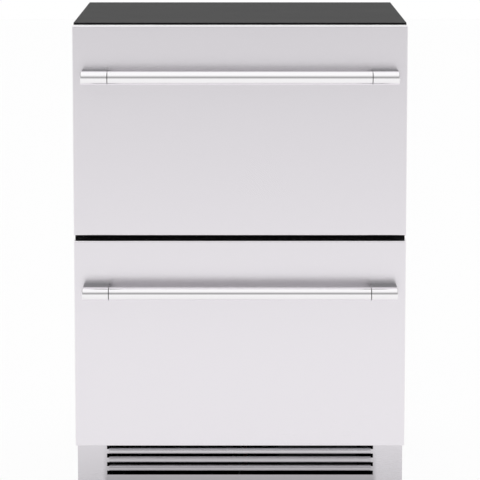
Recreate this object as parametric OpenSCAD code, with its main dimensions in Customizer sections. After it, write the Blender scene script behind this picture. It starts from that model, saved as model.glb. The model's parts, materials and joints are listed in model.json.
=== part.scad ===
// Undercounter refrigerator with two full-width drawers, a louvred kick plate and bar handles.
// Millimetres. X runs to the right seen from the front, the drawers open towards -Y, Z is up.
// The origin is on the floor, under the middle of the overall depth and width.

/* [Cabinet] */
// Width of the cabinet and of the drawer fronts
cabinet_w = 595; // [570:1:640]
// Height from the floor to the top of the cabinet
cabinet_h = 867; // [850:1:900]
// Depth of the cabinet, without the drawer fronts
cabinet_d = 557; // [545:1:600]
// Height of the free space for the air under the insulated body
base_h = 100; // [98:1:110]
// Thickness of the outer steel sheets
sheet_t = 1; // [0.8:0.1:1.5]
// Thickness of the black steel frame that the seals close on
frame_t = 2; // [1.5:0.1:3]
// Thickness of the moulded lining of the rooms
liner_t = 2.5; // [2:0.1:3]
// Side walls, from the outer face to the room
side_wall = 45; // [42:1:50]
// Top wall, from the outer face to the room
top_wall = 50; // [44:1:60]
// Rear wall, from the outer face to the room
rear_wall = 50; // [40:1:60]
// Floor wall, from the underside of the body to the lower room
floor_wall = 45; // [40:1:50]
// Wall between the two rooms
mullion = 50; // [48:1:60]
// Insulation over and in front of the machine compartment
step_wall = 40; // [32:1:44]
// Radius of the corners of the rooms
room_r = 18; // [8:1:24]

/* [Machine compartment] */
// Depth of the machine compartment
machine_d = 185; // [180:1:195]
// Height of its roof above the floor
machine_top = 230; // [215:1:235]
// Height of the underside of the base pan above the floor
pan_z = 22; // [18:1:26]
// Thickness of the base pan
pan_t = 1.5; // [1.2:0.1:2]
// Height of the turned-up edges of the base pan
pan_edge = 14; // [8:1:14]
// How far the rear cover lies in front of the back
cover_recess = 6; // [4:1:10]
// Width of a vent slot in the rear cover
vent_w = 4; // [2:0.5:5]
// Distance from one vent slot to the next
vent_pitch = 10; // [8:0.5:14]
// Height of the vent slots
vent_h = 56; // [30:1:70]

/* [Drawer fronts] */
// Thickness of a drawer front
front_t = 40; // [34:1:50]
// Space between a closed drawer front and the cabinet
gasket_gap = 8; // [6:0.5:10]
// How far the upper front stays below the top of the cabinet
reveal_top = 2; // [1:0.5:6]
// Gap between the two drawer fronts
front_gap = 9.5; // [6:0.5:12]
// Height of the lower front's bottom edge above the floor
front_bottom = 105; // [100:1:112]
// Thickness of the stainless skin
skin_t = 1.2; // [0.8:0.1:1.5]
// Radius of the bends round the front face
skin_r = 2.5; // [1.5:0.1:4]
// Thickness of the moulded inner panel
inner_t = 3; // [2:0.1:4]
// Width of the seal
gasket_w = 14; // [10:0.5:15]

/* [Handles] */
// Diameter of the bar
bar_d = 24; // [18:0.5:28]
// Distance from the drawer front to the middle of the bar
handle_out = 50; // [42:1:60]
// Length over the end pieces
handle_len = 561; // [500:1:565]
// Length of an end piece, and width of its post
handle_end = 47; // [30:1:60]
// Height of a post
post_h = 21; // [12:1:23]
// Distance from the top of the front to the middle of the bar
handle_drop = 88; // [60:1:120]
// Wall of the bar's tube
bar_wall = 1.5; // [1:0.1:3]
// Chamfer at the seams and ends of the bar
seam = 1; // [0.3:0.1:1.2]

/* [Kick plate] */
// How far the kick plate stands back from the cabinet's front
kick_setback = 19; // [10:1:30]
// Thickness of the kick plate
kick_t = 1.5; // [1:0.1:2]
// Number of slots
slot_n = 4; // [2:1:4]
// Distance from one slot to the next
slot_pitch = 16; // [14:0.5:17]
// Height of a slot between two bars
slot_h = 6; // [4:0.5:8]
// Length of the slots
slot_len = 488; // [400:1:520]
// Height of the lowest slot's middle above the floor
slot_first = 40.4; // [38:0.1:42]
// How far a rounded bar stands out of the plate
bead_out = 2.5; // [1.5:0.1:3]
// How far a rounded bar stops short of the ends of the slots
bead_short = 4; // [2:0.5:8]
// How far a rounded bar covers the lower edge of the slot above it
bead_lap = 1.6; // [0:0.1:2]

/* [Drawers] */
// Outside depth of a bin
bin_d = 400; // [380:1:420]
// Height of a bin
bin_h = 230; // [200:1:250]
// Wall of a bin
bin_t = 3; // [2.5:0.1:4]
// Radius of a bin's upright corners
bin_r = 25; // [12:1:30]
// Clearance under a bin
bin_floor_gap = 12; // [6:1:16]
// Distance from a drawer front to its bin
bin_front_gap = 6; // [3:0.5:10]
// Clearance between the low rear part of the lower bin and the room's step
bin_step_gap = 10; // [6:1:16]
// Gap between a bin and the bracket beside it
bin_side_gap = 3.3; // [1:0.1:6]
// Thickness of a bracket
bracket_t = 1.5; // [1:0.1:2.5]
// Width of a bracket's top flange, which carries the bin's rim
bracket_flange = 8; // [5:0.5:9]
// Thickness of the rim of a bin
rim_t = 3; // [2:0.1:4]
// Thickness of a bin divider
divider_t = 3; // [2:0.1:5]
// How far a divider stays below the rim
divider_drop = 28; // [10:1:60]

/* [Drawer slides] */
// Length of a slide, closed
slide_len = 400; // [380:1:420]
// Height of a slide
slide_h = 45; // [40:1:50]
// Width of a slide, from the room's wall to the drawer's bracket
slide_w = 12.7; // [12:0.1:15]
// Sheet thickness of the slide members
slide_t = 1.2; // [1:0.1:1.4]
// Clearance between two slide members
slide_c = 0.3; // [0.2:0.05:0.4]
// Height of the slide member's inner lips
slide_lip = 4; // [3:0.5:5]
// Clearance between the lower slides and the round corners over the room's step
slide_over_step = 2.5; // [1:0.5:6]
// Distance from the cabinet's front to a slide
slide_setback = 14; // [8:1:20]

/* [Cooling] */
// Depth of the air duct behind the rooms
duct_d = 55; // [50:1:60]
// Thickness of a duct cover
duct_t = 2.5; // [2:0.1:3]
// Width of an evaporator
coil_w = 340; // [300:1:380]
// Height above the step that an evaporator leaves to its feet and its fan
coil_room = 101.5; // [98:0.5:109]
// Depth of an evaporator
coil_d = 34; // [28:1:38]
// Air gap between the condenser and the cabinet's side
cond_side = 29.5; // [26:0.5:34]
// Height of the condenser
cond_h = 68; // [60:1:72]
// Depth of the condenser
cond_d = 96; // [80:1:110]
// Radius of the coils' tubes
coil_tube_r = 3.5; // [3:0.1:5]
// Distance from one fin to the next
fin_pitch = 9; // [8:0.5:14]
// Thickness of a fin
fin_t = 0.8; // [0.6:0.1:1.2]
// Tip radius of the evaporator fans
evap_fan_r = 37; // [30:1:39]
// Tip radius of the condenser fan
cond_fan_r = 60; // [50:1:64]
// Radius of the fan motors' shafts
shaft_r = 2.5; // [2:0.1:3]
// Radial running clearance of the fans on their shafts
shaft_c = 0.05; // [0.03:0.01:0.1]
// Radius of the compressor's shell
comp_r = 75; // [68:1:78]
// Height of the compressor's shell
comp_h = 150; // [130:1:165]
// Radius of the pipes
pipe_r = 4; // [3:0.1:5]
// Radius of the hole for the supply cord in its gland
gland_bore_r = 4.5; // [3:0.1:6]

/* [Feet] */
// Radius of a foot's pad
pad_r = 19; // [14:1:24]
// Radius of a foot's threaded stud
stud_r = 5; // [4:0.1:6]
// Radial running clearance of the stud in its nut
stud_c = 0.05; // [0.03:0.01:0.1]
// Travel of a foot
foot_travel = 25; // [15:1:26]
// Distance of a foot's axis from the cabinet's side
foot_side = 47.5; // [38:0.5:57]
// Distance from the kick plate to the front feet
foot_in = 34; // [30:1:40]
// Distance from the back to the rear feet
foot_back = 40; // [32:1:50]

/* [Hidden] */
$fn = 96;

// Colours
stainless = [0.86, 0.85, 0.87];
dark_paint = [0.33, 0.33, 0.33];
black_paint = [0.06, 0.06, 0.07];
white_plastic = [0.88, 0.89, 0.90];
bin_plastic = [0.78, 0.81, 0.84];
dark_plastic = [0.16, 0.16, 0.17];
zinc = [0.70, 0.72, 0.74];
fin_metal = [0.80, 0.81, 0.82];
copper = [0.80, 0.47, 0.30];
foam_tan = [0.90, 0.84, 0.62];
seal_grey = [0.20, 0.20, 0.21];

// Places along the depth
half_w = cabinet_w / 2;
overall_d = cabinet_d + gasket_gap + front_t + handle_out + bar_d / 2;
back_y = overall_d / 2;
cab_y = back_y - cabinet_d;
panel_back_y = cab_y - gasket_gap;
panel_y = panel_back_y - front_t;
bar_y = panel_y - handle_out;
room_back_y = back_y - rear_wall;
machine_y = back_y - machine_d;
step_y = machine_y - step_wall;
kick_y = cab_y + kick_setback;
pan_y = kick_y + kick_t;
cover_y = back_y - cover_recess;
duct_y = room_back_y - duct_d;

// Places along the height
front_h = (cabinet_h - reveal_top - front_bottom - front_gap) / 2;
lower_front_z = front_bottom;
upper_front_z = front_bottom + front_h + front_gap;
split_z = upper_front_z - front_gap / 2;
upper_z0 = split_z + mullion / 2;
upper_z1 = cabinet_h - top_wall;
lower_z0 = base_h + floor_wall;
lower_z1 = split_z - mullion / 2;
step_z = machine_top + step_wall;
pan_top = pan_z + pan_t;
room_w = cabinet_w - 2 * side_wall;

// Slides: the lower pair runs just above the step, the upper pair at the same height in its room
slide_up = step_z + room_r + slide_over_step + slide_h / 2 - lower_z0;
slide_y = cab_y + slide_setback;
lip_gap = 0.6;
nest = slide_t + slide_c;
outer_w = slide_w - lip_gap;
middle_w = outer_w - 2 * nest;
middle_h = slide_h - 2 * nest;
inner_h = middle_h - 2 * nest;
hat_h = inner_h - 2 * (slide_lip + slide_t);

// Bins and brackets
bracket_x = room_w / 2 - slide_w;
bin_w = 2 * (bracket_x - bracket_t - bin_side_gap);
bin_y = panel_back_y + bin_front_gap;
bin_low_y = step_y - bin_step_gap;
bin_low_z = step_z + bin_floor_gap - 4;
rim_side = bracket_x + bracket_flange + 0.3;
rim_front = 4;
guide_t = 3;
guide_c = 0.5;

// Condenser fan and its shroud
fan_x = -130;
fan_z = pan_top + 78;
shroud_t = 2.5;
plenum_d = 36;
shroud_w = 180;
shroud_h = 156;
collar_d = 22;
cond_fan_d = 18;
evap_fan_d = 18;
fan_tip_gap = 2;
arm_t = 3;
arm_disc_r = 24;
motor_r = 22;
motor_d = 26;
shroud_back_y = machine_y + plenum_d;
arm_y = shroud_back_y - shroud_t + collar_d;
fan_gap = 1.5;
cond_fan_y = arm_y - fan_gap - cond_fan_d;

// Condenser, and the baffle that parts the air drawn in from the air blown out
baffle_x = -2;
baffle_t = 1.5;
cond_to_baffle = 20;
cond_x = -half_w + cond_side;
cond_w = baffle_x - cond_to_baffle - cond_x;
tube_out = 3;
cond_y = pan_y + 66;
cond_nz = 4;
cond_ny = 3;

// Evaporators and their fans
coil_h = lower_z1 - step_z - coil_room;
evap_nz = 3;
evap_ny = 2;
evap_foot = 22;
evap_low_foot = 8;
evap_fan_y = duct_y + duct_t + 4;
evap_motor_r = 18;
upper_coil_z = upper_z0 + evap_foot;
lower_coil_z = step_z + evap_low_foot;
upper_fan_up = 40;
lower_fan_up = 9;
upper_fan_z = upper_coil_z + coil_h + evap_fan_r + upper_fan_up;
lower_fan_z = lower_coil_z + coil_h + evap_fan_r + lower_fan_up;

// Compressor and what stands beside it
comp_x = 130;
mount_to_foot = 32;
mount_x = half_w - foot_side - mount_to_foot - comp_x;
comp_y = machine_y + 91;
mount_y = 60;
grommet_r = 13;
grommet_h = 15;
base_plate_t = 2.5;
grommet_neck_r = 8;
comp_z = pan_top + grommet_h + base_plate_t;
seam_z = comp_z + comp_h * 0.55;
seam_out = 3;
seam_h = 5;
stub_x = comp_x - comp_r - 5;
suction_z = comp_z + 90;
discharge_y = comp_y - 34;
suction_y = comp_y + 30;
discharge_x = 26;
suction_x = stub_x - 18;
drier_x = 10;
drier_y = comp_y + 40;
drier_z = pan_top + 82;
drier_r = 9;
drier_h = 90;
bend_r = 12;
capillary_r = 1.5;

// Feet
foot_x = half_w - foot_side;
pad_t = 5;
pad_bevel = 3;
shoulder_z = pad_t + pad_bevel;
shoulder_h = pan_z - shoulder_z;
nut_r = 9;
nut_h = 12;
stud_spare = 6;
stud_top = pan_top + nut_h + foot_travel + stud_spare;
front_foot_y = pan_y + foot_in;
rear_foot_y = back_y - foot_back;

// A rectangle with round corners, its lower left corner at the origin
module rounded_rect(w, h, r) {
    translate([r, 0]) square([w - 2 * r, h]);
    translate([0, r]) square([w, h - 2 * r]);
    for (x = [r, w - r], y = [r, h - r]) translate([x, y]) circle(r = r);
}

// A profile drawn in Y and Z, drawn out along X, from x0 over a length
module along_x(x0, length) {
    translate([x0, 0, 0]) rotate([90, 0, 90]) linear_extrude(height = length) children();
}

// A profile drawn in X and Z, drawn out along Y, from y0 over a length
module along_y(y0, length) {
    translate([0, y0 + length, 0]) rotate([90, 0, 0]) linear_extrude(height = length) children();
}

// A box between two corners
module box(a, b) {
    translate(a) cube(b - a);
}

// A straight round bar along Y, from y0 over a length
module rod_y(r, y0, length) {
    translate([0, y0 + length, 0]) rotate([90, 0, 0]) cylinder(r = r, h = length);
}

// The same thing on the left and mirrored on the right
module both_sides() {
    children();
    mirror([1, 0, 0]) children();
}

// A rectangle centred on the middle line, from z0 to z1, grown on all sides
module room_section(z0, z1, grow) {
    translate([-room_w / 2 - grow, z0 - grow])
        rounded_rect(room_w + 2 * grow, z1 - z0 + 2 * grow, room_r + grow);
}

// The space of the upper room, grown outwards, starting at y0
module upper_room(y0, grow) {
    along_y(y0, room_back_y + grow - y0) room_section(upper_z0, upper_z1, grow);
}

// The space of the lower room, which steps over the machine compartment
module lower_room(y0, grow) {
    along_y(y0, step_y + grow - y0) room_section(lower_z0, lower_z1, grow);
    along_y(y0, room_back_y + grow - y0) room_section(step_z, lower_z1, grow);
}

// Cabinet ---------------------------------------------------------------------------------

module top_panel() {
    color(dark_paint)
    box([-half_w, cab_y + frame_t, cabinet_h - sheet_t], [half_w, back_y - sheet_t, cabinet_h]);
}

// The sides reach down behind the kick plate
module side_panels() {
    color(dark_paint)
    both_sides()
    along_x(-half_w, sheet_t)
    polygon([
        [cab_y + frame_t, base_h], [pan_y, base_h], [pan_y, pan_z],
        [back_y - sheet_t, pan_z], [back_y - sheet_t, cabinet_h - sheet_t],
        [cab_y + frame_t, cabinet_h - sheet_t]
    ]);
}

anti_tip_in = 57.5;
anti_tip_x = half_w - anti_tip_in;
anti_tip_r = 2.75;
anti_tip_drop = 22;

module back_panel() {
    color(zinc)
    difference() {
        box([-half_w, back_y - sheet_t, machine_top], [half_w, back_y, cabinet_h]);
        for (s = [-1, 1]) translate([s * anti_tip_x, 0, cabinet_h - anti_tip_drop])
            rod_y(anti_tip_r, back_y - 2 * sheet_t, 3 * sheet_t);
    }
}

// One bent sheet: the floor of the body, the front and the roof of the machine compartment
module cabinet_floor() {
    color(zinc)
    along_x(-half_w + sheet_t, cabinet_w - 2 * sheet_t)
    polygon([
        [cab_y + frame_t, base_h], [machine_y, base_h], [machine_y, machine_top],
        [back_y - sheet_t, machine_top], [back_y - sheet_t, machine_top + sheet_t],
        [machine_y - sheet_t, machine_top + sheet_t], [machine_y - sheet_t, base_h + sheet_t],
        [cab_y + frame_t, base_h + sheet_t]
    ]);
}

module foam_insulation() {
    color(foam_tan)
    difference() {
        box([-half_w + sheet_t, cab_y + frame_t, base_h + sheet_t],
            [half_w - sheet_t, back_y - sheet_t, cabinet_h - sheet_t]);
        box([-half_w, machine_y - sheet_t, 0], [half_w, back_y, machine_top + sheet_t]);
        upper_room(cab_y, liner_t);
        lower_room(cab_y, liner_t);
        for (s = [-1, 1]) translate([s * anti_tip_x, 0, cabinet_h - anti_tip_drop])
            rod_y(anti_tip_r, back_y - 12, 12);
    }
}

module upper_liner() {
    color(white_plastic)
    difference() {
        upper_room(cab_y, liner_t);
        upper_room(cab_y - 1, 0);
    }
}

module lower_liner() {
    color(white_plastic)
    difference() {
        lower_room(cab_y, liner_t);
        lower_room(cab_y - 1, 0);
    }
}

module front_frame() {
    color(black_paint)
    difference() {
        box([-half_w, cab_y, base_h], [half_w, cab_y + frame_t, cabinet_h]);
        upper_room(cab_y - 1, liner_t);
        lower_room(cab_y - 1, liner_t);
    }
}

// Base ------------------------------------------------------------------------------------

module at_feet() {
    for (x = [-foot_x, foot_x], y = [front_foot_y, rear_foot_y]) translate([x, y, 0]) children();
}

module base_pan() {
    color(black_paint)
    difference() {
        union() {
            box([-half_w + sheet_t, pan_y, pan_z], [half_w - sheet_t, back_y - sheet_t, pan_top]);
            box([-half_w + sheet_t, pan_y, pan_z], [half_w - sheet_t, pan_y + pan_t, pan_z + pan_edge]);
            both_sides() box([-half_w + sheet_t, pan_y, pan_z],
                [-half_w + sheet_t + pan_t, cover_y - sheet_t, pan_z + pan_edge]);
            at_feet() translate([0, 0, pan_z]) cylinder(r = nut_r, h = pan_t + nut_h);
        }
        at_feet() translate([0, 0, pan_z - 1]) cylinder(r = stud_r + stud_c, h = pan_t + nut_h + 2);
    }
}

kick_flange = 18;
function slot_z(i) = slot_first + i * slot_pitch;
bead_h = slot_pitch - slot_h;
bead_r = ((bead_h / 2) * (bead_h / 2) + bead_out * bead_out) / (2 * bead_out);

// Section of a rounded bar, its middle at the origin: whole, or as the bent sheet
module bead_section(hollow) {
    intersection() {
        difference() {
            translate([bead_r - bead_out, 0]) circle(r = bead_r);
            if (hollow) translate([bead_r - bead_out, 0]) circle(r = bead_r - kick_t);
        }
        translate([-bead_out - 1, -bead_r]) square([bead_out + 1 + kick_t, 2 * bead_r]);
    }
}

module kick_bar() {
    bar_half = slot_len / 2 - bead_short;
    along_x(-bar_half, 2 * bar_half) bead_section(true);
    for (x = [-bar_half, bar_half - kick_t]) along_x(x, kick_t) bead_section(false);
    for (x = [-slot_len / 2, bar_half])
        box([x, 0, -bead_h / 2], [x + bead_short, kick_t, bead_h / 2 - bead_lap]);
}

module kick_plate() {
    window_z0 = slot_z(0) - slot_h / 2 - bead_lap;
    window_z1 = slot_z(slot_n - 1) + slot_h / 2;
    color(stainless)
    union() {
        difference() {
            box([-half_w, kick_y, pan_z], [half_w, pan_y, base_h]);
            box([-slot_len / 2, kick_y - 1, window_z0], [slot_len / 2, pan_y + 1, window_z1]);
        }
        box([-half_w + sheet_t, kick_y, base_h - kick_t],
            [half_w - sheet_t, kick_y + kick_flange, base_h]);
        for (i = [0 : slot_n - 2])
            translate([0, kick_y, (slot_z(i) + slot_z(i + 1)) / 2]) kick_bar();
    }
}

// Foot, fully screwed in: its shoulder lies against the base pan
module foot() {
    color(black_paint) {
        cylinder(r = pad_r, h = pad_t);
        translate([0, 0, pad_t]) cylinder(r1 = pad_r - 1, r2 = nut_r + 1, h = pad_bevel);
        translate([0, 0, shoulder_z]) cylinder(r = nut_r, h = shoulder_h, $fn = 6);
        translate([0, 0, pan_z]) cylinder(r = stud_r, h = stud_top - pan_z);
    }
}

module foot_front_left() {
    translate([-foot_x, front_foot_y, 0]) foot();
}

module foot_front_right() {
    translate([foot_x, front_foot_y, 0]) foot();
}

module foot_rear_left() {
    translate([-foot_x, rear_foot_y, 0]) foot();
}

module foot_rear_right() {
    translate([foot_x, rear_foot_y, 0]) foot();
}

// Cooling ---------------------------------------------------------------------------------

// A block of fins on rows of tubes, its lower front left corner at the origin. In each column the
// tubes are joined to one serpentine by return bends, and both of its open ends are on the right
// where the number of rows is even.
module finned_coil(w, d, h, nz, ny) {
    end_t = 1.5;
    fins = floor((w - 2 * end_t) / fin_pitch);
    pitch = (w - end_t) / fins;
    for (i = [0 : fins]) translate([i * pitch, 0, 0])
        cube([i == 0 || i == fins ? end_t : fin_t, d, h]);
    for (j = [0 : ny - 1]) translate([0, d * (j + 0.5) / ny, 0]) {
        for (i = [0 : nz - 1]) translate([-tube_out, 0, h * (i + 0.5) / nz])
            rotate([0, 90, 0]) cylinder(r = coil_tube_r, h = w + 2 * tube_out, $fn = 48);
        for (i = [0 : nz - 2]) translate([i % 2 == 1 ? w + tube_out : -tube_out, 0, h * (i + 1) / nz])
            rotate([90, 0, 0]) rotate(i % 2 == 1 ? -90 : 90)
            rotate_extrude(angle = 180, $fn = 48)
            translate([h / nz / 2, 0]) circle(r = coil_tube_r);
    }
}

module condenser_coil() {
    color(black_paint)
    translate([cond_x, cond_y, pan_top]) finned_coil(cond_w, cond_d, cond_h, cond_nz, cond_ny);
}

module evaporator(z) {
    color(fin_metal)
    translate([-coil_w / 2, room_back_y - coil_d, z])
        finned_coil(coil_w, coil_d, coil_h, evap_nz, evap_ny);
}

module upper_evaporator() {
    evaporator(upper_coil_z);
}

module lower_evaporator() {
    evaporator(lower_coil_z);
}

// An axial fan with its shaft along Z, standing on its front face
module axial_fan(tip_r, hub_r, depth, blades) {
    blade_t = 1.6;
    blade_pitch = 36;
    difference() {
        union() {
            cylinder(r = hub_r, h = depth);
            for (i = [0 : blades - 1]) rotate(i * 360 / blades)
            intersection() {
                cylinder(r = tip_r, h = depth);
                translate([hub_r - 1.5, 0, depth / 2]) rotate([blade_pitch, 0, 0])
                    translate([0, -depth, -blade_t / 2]) cube([tip_r, 2 * depth, blade_t]);
            }
        }
        translate([0, 0, 3]) cylinder(r = shaft_r + shaft_c, h = depth);
    }
}

module condenser_fan() {
    color(dark_plastic)
    translate([fan_x, cond_fan_y, fan_z]) rotate([-90, 0, 0])
        axial_fan(cond_fan_r, 21, cond_fan_d, 5);
}

module evaporator_fan(z) {
    color(white_plastic)
    translate([0, evap_fan_y, z]) rotate([-90, 0, 0]) axial_fan(evap_fan_r, 14, evap_fan_d, 7);
}

module upper_evaporator_fan() {
    evaporator_fan(upper_fan_z);
}

module lower_evaporator_fan() {
    evaporator_fan(lower_fan_z);
}

// The motors' shafts reach into the fans' hubs
module evaporator_motor(z) {
    motor_y = evap_fan_y + evap_fan_d + fan_gap;
    translate([0, 0, z]) {
        rod_y(evap_motor_r, motor_y, room_back_y - motor_y);
        rod_y(shaft_r, evap_fan_y + 5, motor_y - evap_fan_y);
    }
}

module fan_motors() {
    color(dark_plastic) {
        translate([fan_x, 0, fan_z]) {
            rod_y(motor_r, arm_y + arm_t, motor_d);
            rod_y(shaft_r, cond_fan_y + 5, arm_y + arm_t - cond_fan_y);
        }
        evaporator_motor(upper_fan_z);
        evaporator_motor(lower_fan_z);
    }
}

// The hood that leads the air from under the floor to the fan, with the fan's collar and arms
module fan_shroud() {
    collar_r = cond_fan_r + fan_tip_gap;
    color(dark_plastic)
    difference() {
        union() {
            difference() {
                box([fan_x - shroud_w / 2, machine_y, pan_top],
                    [fan_x + shroud_w / 2, shroud_back_y, pan_top + shroud_h]);
                box([fan_x - shroud_w / 2 + shroud_t, machine_y - 1, pan_top - 1],
                    [fan_x + shroud_w / 2 - shroud_t, shroud_back_y - shroud_t,
                    pan_top + shroud_h - shroud_t]);
                translate([fan_x, 0, fan_z]) rod_y(collar_r, machine_y, plenum_d + 1);
            }
            translate([fan_x, 0, fan_z]) {
                difference() {
                    rod_y(collar_r + shroud_t, shroud_back_y - shroud_t, collar_d);
                    rod_y(collar_r, machine_y, 2 * plenum_d);
                }
                rod_y(arm_disc_r, arm_y, arm_t);
                for (a = [90, 210, 330]) rotate([0, a, 0])
                    box([0, arm_y, -5], [collar_r + shroud_t, arm_y + arm_t, 5]);
            }
        }
        translate([fan_x, 0, fan_z]) rod_y(shaft_r + 1.5, arm_y - 1, arm_t + 2);
    }
}

module air_baffle() {
    color(black_paint)
    difference() {
        box([baffle_x, pan_y + pan_t, pan_top], [baffle_x + baffle_t, machine_y, base_h]);
        for (p = [condenser_inlet, condenser_outlet]) translate([baffle_x - 1, p[1], p[2]])
            rotate([0, 90, 0]) cylinder(r = pipe_r + 1.5, h = baffle_t + 2);
        box([baffle_x - 1, pan_y, base_h - kick_t],
            [baffle_x + baffle_t + 1, kick_y + kick_flange, base_h + 1]);
    }
}

// The welded shell: a turned body with a seam flange, on a base plate, with its pipe stubs
module compressor() {
    dome_r = 34;
    lobe = 14;
    color(black_paint)
    translate([comp_x, comp_y, 0]) union() {
        translate([0, 0, comp_z]) rotate_extrude() intersection() {
            translate([-comp_r, 0]) rounded_rect(2 * comp_r, comp_h, dome_r);
            square([comp_r, comp_h]);
        }
        translate([0, 0, seam_z]) cylinder(r = comp_r + seam_out, h = seam_h);
        difference() {
            translate([-mount_x - lobe, -mount_y - lobe, comp_z - base_plate_t])
                linear_extrude(height = base_plate_t)
                rounded_rect(2 * (mount_x + lobe), 2 * (mount_y + lobe), lobe);
            for (x = [-mount_x, mount_x], y = [-mount_y, mount_y])
                translate([x, y, comp_z - base_plate_t - 1])
                cylinder(r = grommet_neck_r + 0.1, h = base_plate_t + 2);
        }
        pipe_stub(discharge_y - comp_y, condenser_inlet[2]);
        pipe_stub(suction_y - comp_y, suction_z);
    }
}

module pipe_stub(y, z) {
    translate([stub_x - comp_x, y, z]) rotate([0, 90, 0]) cylinder(r = pipe_r + 1, h = comp_r / 2);
}

// Rubber grommets with their studs
module compressor_mounts() {
    color(seal_grey)
    translate([comp_x, comp_y, 0])
    for (x = [-mount_x, mount_x], y = [-mount_y, mount_y]) translate([x, y, pan_top]) {
        cylinder(r = grommet_r, h = grommet_h);
        cylinder(r = grommet_neck_r, h = grommet_h + base_plate_t + 1);
        translate([0, 0, grommet_h + base_plate_t]) cylinder(r = 11, h = 3);
        translate([0, 0, grommet_h + base_plate_t + 3]) cylinder(r = 5, h = 5, $fn = 6);
    }
}

// Cover over the compressor's terminals
module relay_cover() {
    cover_w = 54;
    cover_out = 32;
    cover_in = 20;
    cover_up = 36;
    under_seam = 2;
    cover_h = seam_z - comp_z - cover_up - under_seam;
    color(dark_plastic)
    difference() {
        translate([comp_x + comp_r - cover_in, comp_y - cover_w / 2, comp_z + cover_up])
            cube([cover_out + cover_in, cover_w, cover_h]);
        translate([comp_x, comp_y, comp_z]) cylinder(r = comp_r, h = comp_h);
    }
}

module drip_tray() {
    tray_x0 = -foot_x + 30;
    tray_x1 = fan_x + 100;
    tray_w = tray_x1 - tray_x0;
    tray_r = 12;
    behind_tray = 8;
    tray_d = 84;
    tray_h = 26;
    tray_t = 2;
    color(dark_plastic)
    translate([tray_x0, cover_y - behind_tray - tray_d, pan_top])
    difference() {
        linear_extrude(height = tray_h) rounded_rect(tray_w, tray_d, tray_r);
        translate([tray_t, tray_t, tray_t]) linear_extrude(height = tray_h)
            rounded_rect(tray_w - 2 * tray_t, tray_d - 2 * tray_t, tray_r - tray_t);
    }
}

module drain_tube() {
    tube_r = 8;
    tube_t = 1.5;
    tube_z = pan_top + 12;
    tube_h = machine_top - tube_z;
    color(white_plastic)
    translate([fan_x + 70, cover_y - 40, tube_z])
    difference() {
        cylinder(r = tube_r, h = tube_h);
        translate([0, 0, -1]) cylinder(r = tube_r - tube_t, h = tube_h);
    }
}

// Where the condenser's tubes end, on its right side: hot gas in at the top of the rear column,
// liquid out at the foot of the front one
condenser_inlet = [cond_x + cond_w + tube_out, cond_y + cond_d * (cond_ny - 0.5) / cond_ny,
    pan_top + cond_h * (cond_nz - 0.5) / cond_nz];
condenser_outlet = [cond_x + cond_w + tube_out, cond_y + cond_d * 0.5 / cond_ny,
    pan_top + cond_h * 0.5 / cond_nz];

function unit(v) = v / norm(v);
function turned(v) = [v[2], v[0], v[1]];

// Puts its children, drawn along Z at the origin, at a point and along one of the axes
module aimed(at, z, x) {
    y = cross(z, x);
    multmatrix([
        [x[0], y[0], z[0], at[0]],
        [x[1], y[1], z[1], at[1]],
        [x[2], y[2], z[2], at[2]],
        [0, 0, 0, 1]
    ]) children();
}

// A pipe along points whose steps each follow one axis, with round bends
module pipe(points, r, bend) {
    last = len(points) - 1;
    for (i = [0 : last - 1]) {
        way = unit(points[i + 1] - points[i]);
        a = points[i] + (i > 0 ? bend : 0) * way;
        b = points[i + 1] - (i < last - 1 ? bend : 0) * way;
        aimed(a, way, turned(way)) cylinder(r = r, h = norm(b - a), $fn = 48);
    }
    for (i = [1 : 1 : last - 1]) {
        before = unit(points[i] - points[i - 1]);
        after = unit(points[i + 1] - points[i]);
        aimed(points[i] + bend * (after - before), cross(-after, before), -after)
            rotate_extrude(angle = 90, $fn = 48) translate([bend, 0]) circle(r = r);
    }
}

module refrigerant_lines() {
    in_z = condenser_inlet[2];
    out_z = condenser_outlet[2];
    color(copper) {
        // hot gas from the compressor to the condenser
        pipe([[stub_x, discharge_y, in_z], [discharge_x, discharge_y, in_z],
            [discharge_x, condenser_inlet[1], in_z], condenser_inlet], pipe_r, bend_r);
        // liquid from the condenser to the filter drier
        pipe([condenser_outlet, [drier_x, condenser_outlet[1], out_z],
            [drier_x, drier_y, out_z], [drier_x, drier_y, drier_z]], pipe_r, bend_r);
        // capillary from the drier up into the rear wall
        pipe([[drier_x, drier_y, drier_z + drier_h], [drier_x, drier_y, machine_top]],
            capillary_r, bend_r);
        // cold gas from the rear wall back to the compressor
        pipe([[stub_x, suction_y, suction_z], [suction_x, suction_y, suction_z],
            [suction_x, suction_y, machine_top]], pipe_r, bend_r);
    }
}

// A turned cartridge, drawn in at both ends to the pipes
module filter_drier() {
    neck_r = pipe_r + 1;
    neck_h = 10;
    color(copper)
    translate([drier_x, drier_y, drier_z]) rotate_extrude() polygon([
        [0, 0], [neck_r, 0], [drier_r, neck_h], [drier_r, drier_h - neck_h], [neck_r, drier_h],
        [0, drier_h]
    ]);
}

vent_rows = 2;
vent_n = 14;
gland_in = 67.5;
gland_x = half_w - gland_in;
gland_z = 62;
gland_neck_r = 9;

module rear_cover() {
    color(zinc)
    difference() {
        box([-half_w + sheet_t, cover_y - sheet_t, pan_top], [half_w - sheet_t, cover_y, machine_top]);
        for (s = [-1, 1], row = [0 : vent_rows - 1], i = [0 : vent_n - 1])
            translate([s * 130 + (i - (vent_n - 1) / 2) * vent_pitch, cover_y,
                pan_top + 72 + row * (vent_h + 14)])
            box([-vent_w / 2, -sheet_t - 1, 0], [vent_w / 2, 1, vent_h]);
        translate([gland_x, 0, gland_z]) rod_y(gland_neck_r + 0.1, cover_y - 5, 10);
    }
}

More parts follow.
